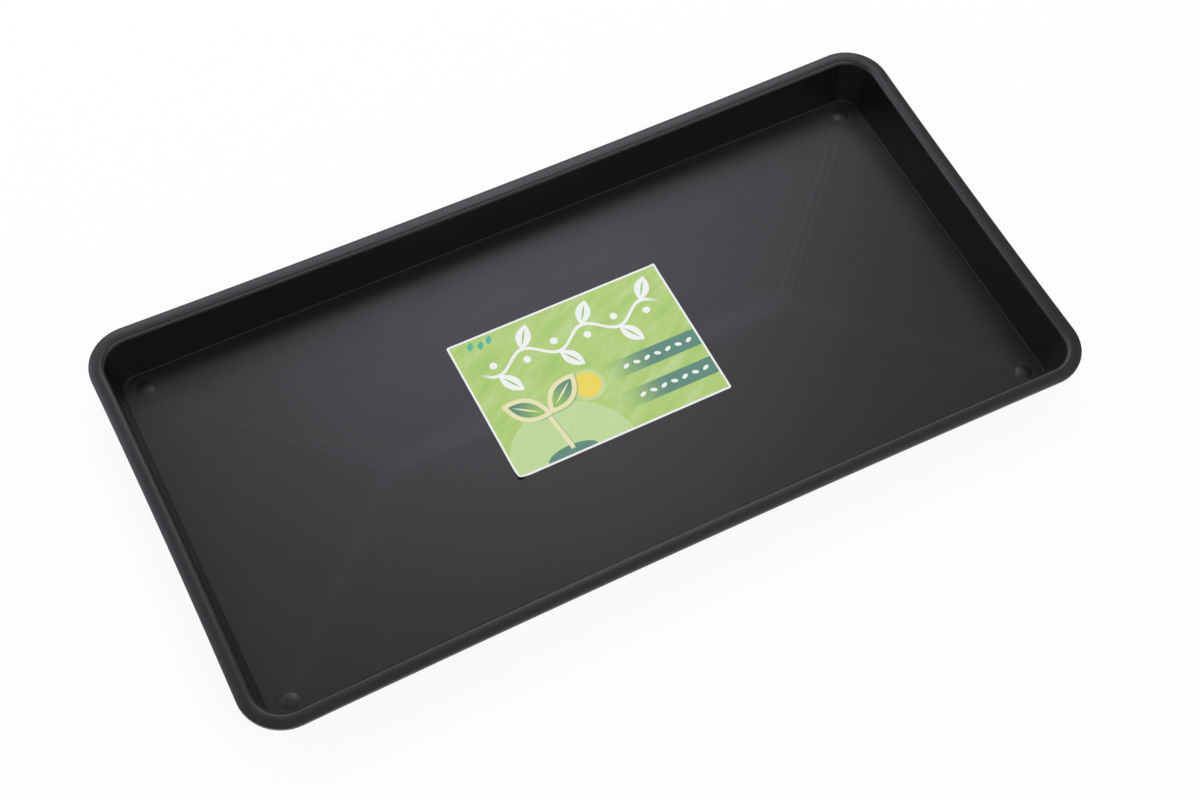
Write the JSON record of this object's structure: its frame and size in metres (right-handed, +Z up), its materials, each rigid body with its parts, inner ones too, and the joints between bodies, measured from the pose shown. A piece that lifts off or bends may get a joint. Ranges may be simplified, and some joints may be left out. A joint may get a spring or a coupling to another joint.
{
  "type": "potting tray",
  "caption": "Shallow rectangular garden potting tray in black plastic, with sloping walls, a rolled rim, a very slightly crowned floor and a paper label stuck inside.",
  "frame": {"origin": "middle of the face that the tray stands on", "axes": "+X along the tray's length, +Y across it to the back, +Z up out of the tray"},
  "size_m": [0.79, 0.4, 0.048],
  "materials": {
    "tray_plastic": "moulded black polypropylene, satin",
    "label_paper": "printed self-adhesive paper, semi-gloss"
  },
  "bodies": {
    "root": {"tray": "tray_plastic", "label": "label_paper"}
  },
  "joints": []
}
